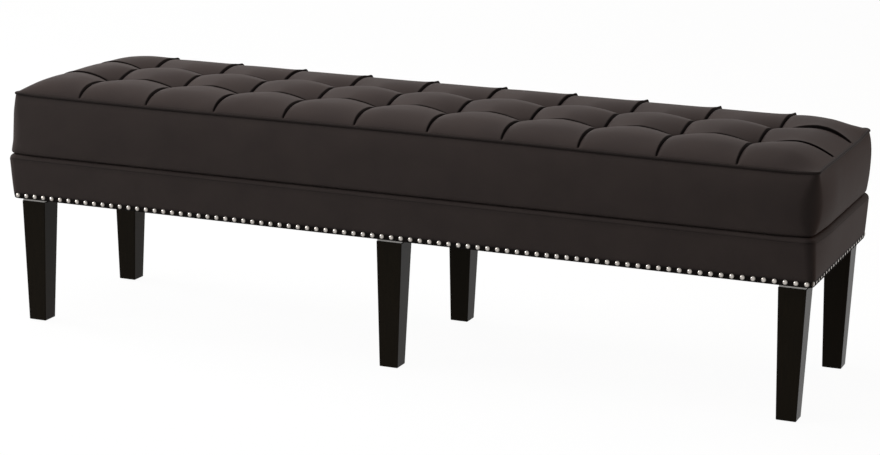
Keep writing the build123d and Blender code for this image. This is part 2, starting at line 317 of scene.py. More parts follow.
@dataclass(frozen=True)
class Finish:
    """What every finish has: a pattern that varies its colour and its gloss, and a relief.

    The colours and the gloss are those at the pattern's 0 and its 1, with one value for a gloss
    that doesn't vary. The pattern has a real size along x, y and z. The relief is a strength, and
    a depth in mm, and may be sunk.
    """

    name: str
    colours: tuple[str, str]
    gloss: tuple[float, ...]
    relief: tuple[float, float]
    size_mm: tuple[float, float, float]
    detail: float = 3.0
    waver: float = 0.0
    sunk: bool = False
    ior: float = 1.5

    def pattern(
        self, tree: bpy.types.NodeTree, place: bpy.types.NodeSocket
    ) -> bpy.types.NodeSocket:
        """Adds the pattern, which is noise unless a finish has another.

        Args:
            tree: the material's node tree.
            place: the place on the bench.

        Returns:
            The pattern, from 0 to 1.
        """
        scale = tuple(1 / (size * MM) for size in self.size_mm)
        drawn = add_node(tree, "ShaderNodeMapping", {"Vector": place, "Scale": scale})[0]
        noise = {"Vector": drawn, "Scale": 1.0, "Detail": self.detail, "Distortion": self.waver}
        return add_node(tree, "ShaderNodeTexNoise", noise)[0]

    def level(
        self, tree: bpy.types.NodeTree, place: bpy.types.NodeSocket, pattern: bpy.types.NodeSocket
    ) -> bpy.types.NodeSocket:
        """Gives the relief's level, which is the pattern unless a finish has another."""
        return pattern

    def sockets(self, tree: bpy.types.NodeTree, place: bpy.types.NodeSocket) -> dict:
        """Lets the pattern vary the colour, the gloss and the level.

        Args:
            tree: the material's node tree.
            place: the place on the bench.

        Returns:
            The shader's inputs.
        """
        pattern = self.pattern(tree, place)
        mixed = {0: pattern, 6: linear(self.colours[0]), 7: linear(self.colours[1])}
        gloss = self.gloss[0]
        if len(self.gloss) > 1:
            ends = {"Value": pattern, "To Min": self.gloss[0], "To Max": self.gloss[1]}
            gloss = add_node(tree, "ShaderNodeMapRange", ends)[0]
        strength, depth = self.relief
        level = self.level(tree, place, pattern)
        felt = {"Height": level, "Strength": strength, "Distance": depth * MM}
        return {
            "Base Color": add_node(tree, "ShaderNodeMix", mixed, data_type="RGBA")[2],
            "Roughness": gloss,
            "Normal": add_node(tree, "ShaderNodeBump", felt, invert=self.sunk)[0],
            "IOR": self.ior,
        }

    def make(self) -> bpy.types.Material:
        """Builds the material.

        Returns:
            The material, with one shader.
        """
        material = bpy.data.materials.new(self.name)
        material.use_nodes = True
        tree = material.node_tree
        tree.nodes.clear()
        place = add_node(tree, "ShaderNodeTexCoord")["Object"]
        shader = add_node(tree, "ShaderNodeBsdfPrincipled", self.sockets(tree, place))[0]
        add_node(tree, "ShaderNodeOutputMaterial", {"Surface": shader})
        return material


@dataclass(frozen=True)
class Leather(Finish):
    """Smooth pigmented leather: a satin skin with little shine, slow clouds in its colour, painted
    shade in its folds, and a fine pebbled grain, which is drawn coarser than a real one to show."""

    name: str = "smooth_pigmented_leather"
    colours: tuple[str, str] = ("#262120", "#2f2927")
    gloss: tuple[float, ...] = (0.54, 0.64)
    relief: tuple[float, float] = (0.35, 0.12)
    size_mm: tuple[float, float, float] = (70.0, 70.0, 70.0)
    sunk: bool = True
    # the colour of the painted shade that stands for shadow in the folds, the seam and the nail row
    painted_crease_shade: str = "#040303"
    grain_mm: float = 1.5
    grain_blend: float = 0.6
    shine: float = 0.035

    def level(
        self, tree: bpy.types.NodeTree, place: bpy.types.NodeSocket, pattern: bpy.types.NodeSocket
    ) -> bpy.types.NodeSocket:
        """Adds the grain's pebbles."""
        size = {"Vector": place, "Scale": 1 / (self.grain_mm * MM), "Smoothness": self.grain_blend}
        return add_node(tree, "ShaderNodeTexVoronoi", size, feature="SMOOTH_F1")["Distance"]

    def sockets(self, tree: bpy.types.NodeTree, place: bpy.types.NodeSocket) -> dict:
        """Adds the painted shade in the folds, which also dulls them.

        Args:
            tree: the material's node tree.
            place: the place on the bench.

        Returns:
            The shader's inputs.
        """
        made = super().sockets(tree, place)
        # painted shade, read from each piece's corners: it darkens and dulls the leather where
        # shadow falls
        fold = add_node(tree, "ShaderNodeAttribute", attribute_name="painted_crease_shade")["Fac"]
        dark = {0: fold, 6: made["Base Color"], 7: linear(self.painted_crease_shade)}
        dull = {0: made["Roughness"], 1: fold}
        return made | {
            "Base Color": add_node(tree, "ShaderNodeMix", dark, data_type="RGBA")[2],
            "Roughness": add_node(tree, "ShaderNodeMath", dull, operation="MAXIMUM")[0],
            "Specular IOR Level": self.shine,
        }


@dataclass(frozen=True)
class Lacquer(Finish):
    """Black lacquer on beech: a deep satin black, with the wood's pores just felt under it. They
    run up the leg, and are drawn coarser than real ones to show."""

    name: str = "black_lacquer_on_beech"
    colours: tuple[str, str] = ("#0a0806", "#130f09")
    gloss: tuple[float, ...] = (0.24, 0.36)
    relief: tuple[float, float] = (0.12, 0.15)
    size_mm: tuple[float, float, float] = (2.2, 2.2, 60.0)
    detail: float = 4.0
    shine: float = 0.05
    gleam: str = "#fff3e0"

    def sockets(self, tree: bpy.types.NodeTree, place: bpy.types.NodeSocket) -> dict:
        """Adds a faint warm shine."""
        shine = {"Specular IOR Level": self.shine, "Specular Tint": linear(self.gleam)}
        return super().sockets(tree, place) | shine


@dataclass(frozen=True, kw_only=True)
class Metal(Finish):
    """Plated or rolled metal: a bright mirror, dulled a little by fine rubbing marks, with painted
    shade that darkens a nail head's dome towards its rim."""

    relief: tuple[float, float] = (0.08, 0.1)
    # the colour of the painted shade at a nail head's rim, and the span off its axis where it comes
    # on
    painted_rim_shade: str
    rim: tuple[float, float] = (0.45, 0.97)

    def sockets(self, tree: bpy.types.NodeTree, place: bpy.types.NodeSocket) -> dict:
        """Adds the painted shade towards a nail head's rim.

        Args:
            tree: the material's node tree.
            place: the place on the bench.

        Returns:
            The shader's inputs.
        """
        made = super().sockets(tree, place)
        off_axis = add_node(tree, "ShaderNodeAttribute", attribute_name="rim")["Fac"]
        ends = {"Value": off_axis, "From Min": self.rim[0], "From Max": self.rim[1]}
        dark = add_node(tree, "ShaderNodeMapRange", ends)[0]
        mixed = {0: dark, 6: made["Base Color"], 7: linear(self.painted_rim_shade)}
        tint = add_node(tree, "ShaderNodeMix", mixed, data_type="RGBA")[2]
        return made | {"Base Color": tint, "Metallic": 1.0}


@dataclass(frozen=True)
class Timber(Finish):
    """Planed pine: pale, with darker growth rings drawn out along the board."""

    name: str = "planed_pine"
    colours: tuple[str, str] = ("#c9a877", "#a97f4e")
    gloss: tuple[float, ...] = (0.62,)
    relief: tuple[float, float] = (0.2, 0.2)
    size_mm: tuple[float, float, float] = (260.0, 7.0, 7.0)
    detail: float = 4.0
    waver: float = 0.8


@dataclass(frozen=True)
class Woven(Finish):
    """Plain woven cloth: matt, with the over and under of its threads. The threads are drawn
    coarser than real ones so that they show."""

    name: str = "black_cambric"
    colours: tuple[str, str] = ("#090909", "#171717")
    gloss: tuple[float, ...] = (0.85,)
    relief: tuple[float, float] = (0.4, 0.3)
    size_mm: tuple[float, float, float] = (2.4, 2.4, 2.4)
    detail: float = 1.0
    waver: float = 0.4
    ior: float = 1.45
    wave: float = 0.32  # the scale at which a pattern of waves has about one to a unit of length

    def pattern(
        self, tree: bpy.types.NodeTree, place: bpy.types.NodeSocket
    ) -> bpy.types.NodeSocket:
        """Adds two sets of threads that cross.

        Args:
            tree: the material's node tree.
            place: the place on the bench.

        Returns:
            The pattern, from 0 to 1.
        """
        size = self.wave / (self.size_mm[0] * MM)
        laid = {"Vector": place, "Scale": size, "Distortion": self.waver, "Detail": self.detail}
        warp, weft = (
            add_node(tree, "ShaderNodeTexWave", laid, bands_direction=way)["Fac"]
            for way in ("X", "Y")
        )
        return add_node(tree, "ShaderNodeMath", {0: warp, 1: weft}, operation="MULTIPLY")[0]


@dataclass(frozen=True)
class Moulded(Finish):
    """Moulded nylon: a dark half-matt plastic with a spark-eroded texture, drawn coarser than a
    real one to show."""

    name: str = "moulded_nylon"
    colours: tuple[str, str] = ("#1b1a19", "#262423")
    gloss: tuple[float, ...] = (0.5,)
    relief: tuple[float, float] = (0.2, 0.1)
    size_mm: tuple[float, float, float] = (0.8, 0.8, 0.8)
    detail: float = 2.0
    ior: float = 1.53


class Wardrobe:
    """Every finish of the bench, made once."""

    def __init__(self) -> None:
        """Makes the materials, one for each of the record's slots that show."""
        nickel = Metal(
            name="bright_nickel_plate",
            colours=("#c6c0ba", "#aaa49d"),
            gloss=(0.14, 0.26),
            size_mm=(3.0, 3.0, 3.0),
            painted_rim_shade="#2a231c",
        )
        steel = Metal(
            name="rolled_zinc_steel",
            colours=("#918f8c", "#757370"),
            gloss=(0.34, 0.48),
            size_mm=(9.0, 9.0, 9.0),
            painted_rim_shade="#5c5a57",
        )
        finishes = {
            Slot.LEATHER: Leather(),
            Slot.LACQUER: Lacquer(),
            Slot.NICKEL: nickel,
            Slot.WOOD: Timber(),
            Slot.CLOTH: Woven(),
            Slot.STEEL: steel,
            Slot.PLASTIC: Moulded(),
        }
        self.materials = {slot: finish.make() for slot, finish in finishes.items()}

    def __getitem__(self, slot: Slot) -> bpy.types.Material:
        """Gives the material of a slot."""
        return self.materials[slot]


# ---------------------------------------------------------------- what repeats


def new_repeat(
    name: str, sizes: dict[str, tuple[str, ...]]
) -> tuple[bpy.types.NodeTree, bpy.types.NodeOutputs]:
    """Opens a node tree with named inputs.

    Args:
        name: the tree's name.
        sizes: the names of its inputs, by their socket type.

    Returns:
        The tree and its inputs.
    """
    tree = bpy.data.node_groups.new(name, "GeometryNodeTree")
    for kind, labels in sizes.items():
        for label in labels:
            tree.interface.new_socket(name=label, in_out="INPUT", socket_type=kind)
    tree.interface.new_socket(name="Mesh", in_out="OUTPUT", socket_type="NodeSocketGeometry")
    return tree, add_node(tree, "NodeGroupInput")


def close_repeat(
    tree: bpy.types.NodeTree,
    given: bpy.types.NodeOutputs,
    placed: dict[str, bpy.types.NodeSocket],
    fineness: tuple[int, int],
    material: bpy.types.Material,
) -> bpy.types.NodeTree:
    """Sets a low dome on every point and ends the tree.

    Args:
        tree: the tree.
        given: its inputs, Radius and Rise among them.
        placed: the Points that domes go on and, where they don't face up, their Rotation.
        fineness: the dome's sectors and bands.
        material: the domes' finish.

    Returns:
        The tree.
    """
    fine = {"Segments": fineness[0], "Rings": fineness[1], "Radius": 1.0}
    ball = add_node(tree, "GeometryNodeMeshUVSphere", fine)[0]
    # notes how far off the axis each point of a dome is, for the metal finish's painted shade
    flat = {0: add_node(tree, "GeometryNodeInputPosition")[0], 1: (1.0, 1.0, 0.0)}
    level = add_node(tree, "ShaderNodeVectorMath", flat, operation="MULTIPLY")[0]
    off_axis = add_node(tree, "ShaderNodeVectorMath", {0: level}, operation="LENGTH")[1]
    rim = {"Geometry": ball, "Name": "rim", "Value": off_axis}
    ball = add_node(tree, "GeometryNodeStoreNamedAttribute", rim)[0]
    reach = {"X": given["Radius"], "Y": given["Radius"], "Z": given["Rise"]}
    size = add_node(tree, "ShaderNodeCombineXYZ", reach)[0]
    dome = add_node(tree, "GeometryNodeTransform", {"Geometry": ball, "Scale": size})[0]
    heads = add_node(tree, "GeometryNodeInstanceOnPoints", placed | {"Instance": dome})[0]
    real = add_node(tree, "GeometryNodeRealizeInstances", {"Geometry": heads})[0]
    soft = add_node(tree, "GeometryNodeSetShadeSmooth", {"Geometry": real})[0]
    coat = {"Geometry": soft, "Material": material}
    dressed = add_node(tree, "GeometryNodeSetMaterial", coat)[0]
    add_node(tree, "NodeGroupOutput", {"Mesh": dressed})
    return tree


def grow(name: str, tree: bpy.types.NodeTree, values: dict[str, object]) -> bpy.types.Object:
    """Runs a node tree and keeps what it makes as a plain mesh.

    Args:
        name: the piece's name.
        tree: the tree.
        values: its inputs, by name.

    Returns:
        The object, with no modifier left on it.
    """
    piece = bpy.data.objects.new(name, bpy.data.meshes.new(name))
    bpy.context.collection.objects.link(piece)
    modifier = piece.modifiers.new(name, "NODES")
    modifier.node_group = tree
    for item in tree.interface.items_tree:
        if item.name in values:
            modifier[item.identifier] = values[item.name]
    graph = bpy.context.evaluated_depsgraph_get()
    made = bpy.data.meshes.new_from_object(piece.evaluated_get(graph))
    piece.modifiers.remove(modifier)
    piece.data = made
    return piece


# ---------------------------------------------------------------- the seat


@dataclass(frozen=True)
class Corners:
    """How far the cushion's seam lifts at each of its corners, which fades along the seam, and
    along its front edge, as pairs of a place along the bench and a lift."""

    front_left: float = 1.5
    front_right: float = 2.0
    rear_left: float = 2.0
    rear_right: float = 5.0
    fade: tuple[float, float] = (26.0, 55.0)
    front_edge: tuple[tuple[float, float], ...] = (
        (-790, 4.5), (-500, 2.3), (0, 2.8), (250, 1.8), (450, -0.6), (790, -2.6)
    )
    front_fade: float = 45.0

    def lift(self, plan: Plan, x: np.ndarray, y: np.ndarray) -> np.ndarray:
        """Gives the lift of the seam.

        Args:
            plan: the bench's outline.
            x: places along the bench.
            y: places across it.

        Returns:
            The lift at each place.
        """
        away = np.hypot(
            (plan.half_length - np.abs(x)) / self.fade[0],
            (plan.half_depth - np.abs(y)) / self.fade[1],
        )
        left = np.where(y < 0, self.front_left, self.rear_left)
        right = np.where(y < 0, self.front_right, self.rear_right)
        behind = np.clip((plan.half_depth + y) / self.front_fade, 0, None)
        edge = np.interp(x, *zip(*self.front_edge)) * np.exp(-(behind**2))
        return np.where(x < 0, left, right) * np.exp(-(away**2)) + edge


@dataclass(frozen=True)
class Edge:
    """How the top rises from the seam along one side: over what width, and how roundly."""

    width: float
    power: float

    def rise(self, away: np.ndarray) -> np.ndarray:
        """Gives the share of the full height at distances from the seam."""
        return (1 - (1 - np.clip(away / self.width, 0, 1)) ** 2) ** self.power


@dataclass(frozen=True)
class Run:
    """Places along one direction of the top, from its middle, among a number of biscuits."""

    place: np.ndarray
    half: float
    cells: int

    @property
    def size(self) -> float:
        """The length of a biscuit."""
        return 2 * self.half / self.cells

    @property
    def counted(self) -> np.ndarray:
        """The places in biscuits from where the direction starts."""
        return (self.place + self.half) / self.size

    @property
    def cell(self) -> np.ndarray:
        """The number of the biscuit at each place."""
        return np.clip(np.floor(self.counted), 0, self.cells - 1).astype(int)

    @property
    def share(self) -> np.ndarray:
        """How far across its biscuit each place is, from 0 to 1."""
        return self.counted - self.cell

    @property
    def arch(self) -> np.ndarray:
        """How far from its biscuit's middle each place is, from 0 to 1."""
        return np.abs(2 * self.share - 1)

    @property
    def off(self) -> np.ndarray:
        """How far past the nearest fold between biscuits each place is."""
        near = np.rint(self.counted)
        return np.where((near > 0) & (near < self.cells), (self.counted - near) * self.size, FAR)

    @property
    def inset(self) -> np.ndarray:
        """How far in from the seam each place is."""
        return self.half - np.abs(self.place)


@dataclass
class TuftedTop:
    """The top panel: three rows of eleven biscuits, drawn down at the buttons between them.

    Pleats run across the bench, between columns, and tucks along it, between rows. One value for
    each row starts at the front, and one for each kind of column is for the inner ones, the
    first and the last. A start is a distance from the seam, and the run over which it comes on.
    """

    plan: Plan
    corners: Corners
    columns: int = 11
    rows: int = 3
    samples: int = 36
    crowding: float = 0.78  # how much of the samples' spacing tightens at the folds
    end_reach: float = 9.0
    side_reach: float = 3.5
    seam: float = 2.4
    seam_corner: float = 10.0
    saddle: float = 18.0
    left: Edge = Edge(65.0, 0.75)
    right: tuple[Edge, Edge] = (Edge(75.0, 1.7), Edge(70.0, 1.0))  # at the front and the rear
    side: Edge = Edge(58.0, 0.55)
    row_swell: tuple[float, ...] = (8.5, 12.0, 13.5)
    column_swell: tuple[tuple[float, float, float], ...] = ((8, 8, 9), (9, 9, 9), (9, 2.0, 1))
    end_swell: tuple[float, float] = (4.0, 4.5)  # more, in the first column and the last biscuit
    bulge: tuple[float, float] = (2.6, 2.3)  # how square a biscuit's arch is along and across
    slack: Edge = Edge(90.0, 1.0)
    end_slack: tuple[Edge, ...] = (Edge(150.0, 1.5), Edge(170.0, 2.0), Edge(135.0, 1.4))
    fullness: tuple[float, float] = (1.04, 0.90)  # at the left end and at the right
    unevenness: float = 1.0
    seed: int = 11
    lip: tuple[float, ...] = (2.5, 2.5, 3.0)
    edge_lip: tuple[float, ...] = (0.5, 0.0, 8.0)
    edge_lip_place: tuple[float, float] = (17.0, 14.0)  # from the seam, and its spread
    tuck_lip: tuple[float, ...] = (1.6, 2.4, 1.5)
    lip_fade: float = 14.0
    lip_power: int = 6
    lip_run: tuple[float, float] = (9.0, 6.0)  # from the seam at the ends and at the sides
    pleat_depth: float = 4.5
    pleat_width: float = 3.6
    pleat_start: tuple[float, float] = (1.5, 1.5)
    tuck_depth: tuple[float, ...] = (6.0, 4.6, 3.4)
    tuck_width: float = 4.0
    tuck_start: tuple[float, float] = (4.5, 3.0)
    wall_width: float = 0.7  # the steep side of a fold
    wall_power: float = 2.0
    slope_power: float = 1.3
    dip: float = 10.5
    dip_power: float = 1.3
    pit_depth: float = 3.5
    pit_width: float = 10.0
    # painted shade for the shadow in the folds: the lines' widths, how soft their edges are, and
    # how dark round the pits
    shade_line_width: float = 1.35
    bold_shade_line_width: float = 2.3  # in the front tuck of the last column
    shade_line_edge: float = 1.6
    pit_shade: float = 0.45
    drift: float = 0.02  # how far pleats stray to the right towards the rear
    drift_ease: float = 60.0
    drift_taper: tuple[float, float] = (2.0, 1.0)  # in biscuits, from the left end and the right
    base: float = field(init=False)
    x: Run = field(init=False)
    y: Run = field(init=False)

    def __post_init__(self) -> None:
        """Reads the panel's level from its solid, and sets out its places along and across."""
        self.base = box_mm("top_cover")[0][2]
        half_length = self.plan.half_length + self.end_reach
        half_depth = self.plan.half_depth + self.side_reach
        x, y = np.meshgrid(
            self.places(half_length, self.columns), self.places(half_depth, self.rows)
        )
        self.x, self.y = Run(x, half_length, self.columns), Run(y, half_depth, self.rows)

    def places(self, half: float, cells: int) -> np.ndarray:
        """Gives sample places along one side, closer together at the pleats.

        Args:
            half: half the side's length.
            cells: how many biscuits along it.

        Returns:
            The places.
        """
        share = np.linspace(0, 1, self.samples, endpoint=False)
        eased = self.crowding * (1 - np.cos(np.pi * share)) / 2 + (1 - self.crowding) * share
        counted = np.append((np.arange(cells)[:, None] + eased).ravel(), cells)
        return counted * 2 * half / cells - half

    def by_row(self, values: tuple) -> np.ndarray:
        """Picks the value for each place's row."""
        return np.array(values)[self.y.cell]

    def by_column(self, values: tuple) -> np.ndarray:
        """Picks the value for each place's kind of column."""
        kind = np.where(self.x.cell == 0, 1, np.where(self.x.cell == self.columns - 1, 2, 0))
        return np.array(values)[kind]

    def begun(self) -> tuple[np.ndarray, np.ndarray]:
        """Gives how far pleats and tucks have come on, from 0 to 1."""
        pleat = np.clip((self.y.inset - self.pleat_start[0]) / self.pleat_start[1], 0, 1)
        return pleat, np.clip((self.x.inset - self.tuck_start[0]) / self.tuck_start[1], 0, 1)

    def folds(self) -> tuple[np.ndarray, np.ndarray, np.ndarray]:
        """Measures how deep each place lies in the folds.

        Returns:
            From 0 to 1, for the pleats, the tucks and the tufts' pits.
        """
        made = []
        widths = (self.pleat_width, self.tuck_width)
        for off, width, begun in zip((self.x.off, -self.y.off), widths, self.begun()):
            width = np.where(off < 0, self.wall_width, width)
            power = np.where(off < 0, self.wall_power, self.slope_power)
            made.append(np.exp(-np.abs(off / width) ** power) * begun)
        pit = np.exp(-((np.hypot(self.x.off, self.y.off) / self.pit_width) ** 2))
        return made[0], made[1], pit

    def crown(self) -> np.ndarray:
        """Works out how far the filling lifts the leather.

        Returns:
            The rise at each place.
        """
        x, y, v = self.x, self.y, self.y.share
        front, middle, rear = np.moveaxis(self.by_row(self.column_swell), -1, 0)
        swell = front * (2 * v - 1) * (v - 1) + middle * 4 * v * (1 - v) + rear * v * (2 * v - 1)
        last = (x.cell == self.columns - 1) & (y.cell == self.rows - 1)
        swell += np.where(x.cell == 0, self.end_swell[0], 0) + np.where(last, self.end_swell[1], 0)
        arch_x, arch_y = 1 - x.arch ** self.bulge[0], 1 - y.arch ** self.bulge[1]
        uneven = np.random.default_rng(self.seed).uniform(-1, 1, (self.columns, self.rows))
        front, rear = (edge.rise(x.half - x.place) for edge in self.right)
        right = front + (rear - front) * y.counted / self.rows
        slack = np.choose(y.cell, [edge.rise(x.inset) for edge in self.end_slack])
        full = (
            self.saddle * self.left.rise(x.half + x.place) * right * self.side.rise(y.inset)
            + swell * arch_x * self.slack.rise(y.inset)
            + self.by_row(self.row_swell) * arch_y * slack
            + self.unevenness * uneven[x.cell, y.cell] * arch_x * arch_y
        )
        share = x.counted / self.columns
        return full * (self.fullness[0] * (1 - share) + self.fullness[1] * share)

    def lips(self) -> np.ndarray:
        """Works out how far the leather turns up beside its folds.

        Returns:
            The rise at each place.
        """
        x, y = self.x, self.y
        place, spread = self.edge_lip_place
        to_pleat = np.where(x.cell < self.columns - 1, (1 - x.share) * x.size, FAR)
        to_tuck = np.where(y.cell > 0, y.share * y.size, FAR)
        lip = self.by_row(self.lip) * (1 - y.arch**self.lip_power)
        lip += self.by_row(self.edge_lip) * np.exp(-(((y.inset - place) / spread) ** 2))
        lip *= np.exp(-to_pleat / self.lip_fade) * np.clip(y.inset / self.lip_run[1], 0, 1)
        turned = self.by_column(self.tuck_lip) * (1 - x.arch**self.lip_power)
        turned *= np.exp(-to_tuck / self.lip_fade) * np.clip(x.inset / self.lip_run[0], 0, 1)
        return lip + turned

    def height(self) -> np.ndarray:
        """Works out the leather's height above the seam.

        Returns:
            The height at each place.
        """
        pleat, tuck, pit = self.folds()
        groove = np.maximum(self.pleat_depth * pleat, self.by_column(self.tuck_depth) * tuck)
        near_x, near_y = (
            np.clip(1 - np.abs(run.off) / (run.size / 2), 0, 1) for run in (self.x, self.y)
        )
        sunk = self.dip * (near_x * near_y) ** self.dip_power + self.pit_depth * pit
        return self.crown() + self.lips() - groove * (1 - pit**2) - sunk

    def shade(self) -> np.ndarray:
        """Works out the painted shade in the leather's folds, which stands for the shadow deep in
        them.

        Returns:
            The painted shade at each place, from 0 to 1.
        """
        x, y = self.x, self.y
        pleat, tuck = self.begun()
        bold = (x.place > x.half - x.size) & (y.place < 0)
        width = np.where(bold, self.bold_shade_line_width, self.shade_line_width)
        across = np.clip(self.shade_line_edge - np.abs(x.off) / self.shade_line_width, 0, 1) * pleat
        along = np.clip(self.shade_line_edge - np.abs(y.off) / width, 0, 1) * tuck
        return np.maximum(np.maximum(across, along), self.pit_shade * self.folds()[2])

    def laid(self) -> tuple[np.ndarray, np.ndarray]:
        """Rounds the seam's corners and lets the pleats stray.

        Returns:
            Where the leather lies along and across the bench.
        """
        x, y, corner = self.x.place, self.y.place, self.seam_corner
        a = np.clip(np.abs(x) - self.x.half + corner, 0, None) / corner
        b = np.clip(np.abs(y) - self.y.half + corner, 0, None) / corner
        taper = np.where(x < 0, *self.drift_taper) * self.x.size
        inner = np.clip(self.x.inset / taper, 0, 1)
        shift = self.drift * (y + np.hypot(y, self.drift_ease)) * inner
        return (
            x - np.sign(x) * corner * a * (1 - np.sqrt(1 - b**2 / 2)) + shift,
            y - np.sign(y) * corner * b * (1 - np.sqrt(1 - a**2 / 2)),
        )

    def build(self, leather: bpy.types.Material) -> None:
        """Makes the panel as a closed form and fixes it to the bench.

        Args:
            leather: its finish.
        """
        x, y = self.x.place, self.y.place
        z = self.base + self.seam + self.height() + self.corners.lift(self.plan, x, y)
        top = np.dstack([*self.laid(), z]).reshape(-1, 3)
        number = np.arange(x.size).reshape(x.shape)
        rim = np.concatenate(
            [number[0, :-1], number[:-1, -1], number[-1, :0:-1], number[:0:-1, 0]]
        ).tolist()
        under = top[rim] * (1, 1, 0) + (0, 0, self.base)
        faces = grid_faces(x.shape)
        for i in range(len(rim)):
            k = (i + 1) % len(rim)
            faces.append([x.size + i, x.size + k, rim[k], rim[i]])
        faces.append([x.size + i for i in reversed(range(len(rim)))])
        piece = new_piece("tufted_top", np.vstack([top, under]), faces, leather)
        paint_crease_shade(piece, np.append(self.shade(), np.zeros(len(rim))))
        settle(piece, Slot.LEATHER, "top_cover", "biscuit_fills")


@dataclass(frozen=True)
class Ripple:
    """The slight waviness of leather over padding: its depth, and the lengths of its waves along
    the bench, up its side and, where it has them, slantwise."""

    depth: float
    along: float
    start: float
    upward: float
    slant: float = 1.0
    slant_share: float = 0.0

    def wave(self, x: np.ndarray, y: np.ndarray, level: float) -> np.ndarray:
        """Gives how far the leather stands out at places on one level."""
        straight = np.sin(x / self.along + self.start) * np.sin(level / self.upward)
        return self.depth * (straight + self.slant_share * np.sin((x + y) / self.slant))


@dataclass
class CushionSides:
    """The boxed sides of the cushion, full at the middle. A row of the profile is a height, its
    swell, its corner radius, and how much further the left and right ends reach. The sides ease
    in towards both ends, and the front right corner stands more upright."""

    plan: Plan
    corners: Corners
    profile: tuple[tuple[float, ...], ...] = (
        (0.0, 6.0, 14.0, 13.0, -0.8),
        (2.0, 9.2, 16.0, 12.8, -0.8),
        (7.0, 11.8, 20.0, 12.4, 0.5),
        (30.0, 12.8, 31.0, 13.4, 4.7),
        (56.0, 12.6, 34.0, 12.8, 7.0),
        (80.0, 11.0, 28.0, 9.9, 7.6),
        (98.0, 8.2, 19.0, 6.4, 6.8),
        (109.0, 5.2, 13.0, 5.3, 6.0),
        (113.0, 3.6, 10.0, 5.2, 5.6),
    )
    steps: int = 5
    gap: float = 0.2  # to what lies above and below
    ripple: Ripple = Ripple(0.6, 61.0, 1.1, 23.0, 29.0, 0.6)
    ease: float = 11.0
    ease_reach: float = 82.0
    ease_growth: tuple[float, float] = (0.5, 2.5)  # at the foot, and upwards from there
    upright: float = 13.0
    upright_growth: tuple[float, float] = (0.45, 1.6)

    def build(self, leather: bpy.types.Material) -> None:
        """Makes the sides as one closed form and fixes it to the bench.

        Args:
            leather: its finish.
        """
        low, high = box_mm("border_band")
        line = smooth_line(np.array(self.profile), self.steps)
        stations = []
        for height, swell, corner, *ends in line:
            share = height / line[-1][0]
            x, y = self.plan.ring(swell, corner, ends).T
            level = low[2] + self.gap + (high[2] - low[2] - 2 * self.gap) * share
            raised = level + self.corners.lift(self.plan, x, y) * share**3
            wave = math.sin(math.pi * share) * self.ripple.wave(x, y, level)
            to_end = np.where(x > 0, x.max(), -x.min()) - np.abs(x)
            near_end = np.clip(1 - to_end / self.ease_reach, 0, 1)
            foot, up = self.ease_growth
            eased = self.ease * min(1, foot + up * share) * (1 - share**2) * near_end**2
            foot, up = self.upright_growth
            x = self.plan.draw_in(x, y, self.upright * (1 - share**2) * (foot + up * share))
            y = y * (1 - eased / y.max())
            stations.append(np.column_stack([x, y + np.sign(y) * wave, raised]))
        piece = ring_piece("cushion_sides", stations, False, leather)
        settle(piece, Slot.LEATHER, "border_band", "seat_foam")


@dataclass
class SeamWelt:
    """The thin piping sewn into the seam round the top, dark with painted seam shadow."""

    plan: Plan
    corners: Corners
    radius: float = 2.6
    sides: int = 10
    swell: float = 3.4
    corner: float = 10.0
    ends: tuple[float, float] = (5.2, 5.6)
    drop: float = 0.8
    # how strong the painted shade over the piping is, for the shadow in the seam
    dark: float = 0.55

    def build(self, leather: bpy.types.Material) -> None:
        """Makes the piping as a closed tube and fixes it to the bench.

        Args:
            leather: its finish.
        """
        low, high = box_mm("top_welt")
        level = (low[2] + high[2]) / 2 - self.drop
        stations = []
        for step in range(self.sides):
            turn = 2 * math.pi * step / self.sides
            out = self.radius * math.cos(turn)
            x, y = self.plan.ring(self.swell + out, self.corner + out, self.ends).T
            z = level + self.radius * math.sin(turn) + self.corners.lift(self.plan, x, y)
            stations.append(np.column_stack([x, y, z]))
        piece = ring_piece("seam_welt", stations, True, leather)
        paint_crease_shade(piece, np.full(len(piece.data.vertices), self.dark))
        settle(piece, Slot.LEATHER, "top_welt")


@dataclass
class Buttons:
    """The covered buttons at the bottom of the tufts."""

    top: TuftedTop
    radius: float = 10.0
    rise: float = 4.2
    lift: float = 1.5
    fineness: tuple[int, int] = (14, 8)

    def tree(self, leather: bpy.types.Material) -> bpy.types.NodeTree:
        """Builds the node tree that sets a button at every tuft.

        Args:
            leather: the cover's finish.

        Returns:
            The tree.
        """
        sizes = {
            "NodeSocketFloat": ("Length", "Depth", "Level", "Radius", "Rise"),
            "NodeSocketInt": ("Columns", "Rows"),
        }
        tree, given = new_repeat("covered_buttons", sizes)
        spread = {
            "Size X": given["Length"],
            "Size Y": given["Depth"],
            "Vertices X": given["Columns"],
            "Vertices Y": given["Rows"],
        }
        grid = add_node(tree, "GeometryNodeMeshGrid", spread)[0]
        level = add_node(tree, "ShaderNodeCombineXYZ", {"Z": given["Level"]})[0]
        raised = {"Geometry": grid, "Translation": level}
        tufts = add_node(tree, "GeometryNodeTransform", raised)[0]
        return close_repeat(tree, given, {"Points": tufts}, self.fineness, leather)

    def build(self, leather: bpy.types.Material) -> None:
        """Makes the buttons and fixes them to the bench.

        Args:
            leather: the covers' finish.
        """
        top = self.top
        columns, rows = top.columns - 1, top.rows - 1
        floor = top.base + top.seam + top.saddle - top.dip - top.pit_depth
        sizes = {
            "Length": top.x.size * (columns - 1) * MM,
            "Depth": top.y.size * (rows - 1) * MM,
            "Level": (floor + self.lift) * MM,
            "Columns": columns,
            "Rows": rows,
            "Radius": self.radius * MM,
            "Rise": self.rise * MM,
        }
        piece = grow("covered_buttons", self.tree(leather), sizes)
        settle(piece, Slot.LEATHER, "tuft_buttons")


# ---------------------------------------------------------------- below the seat


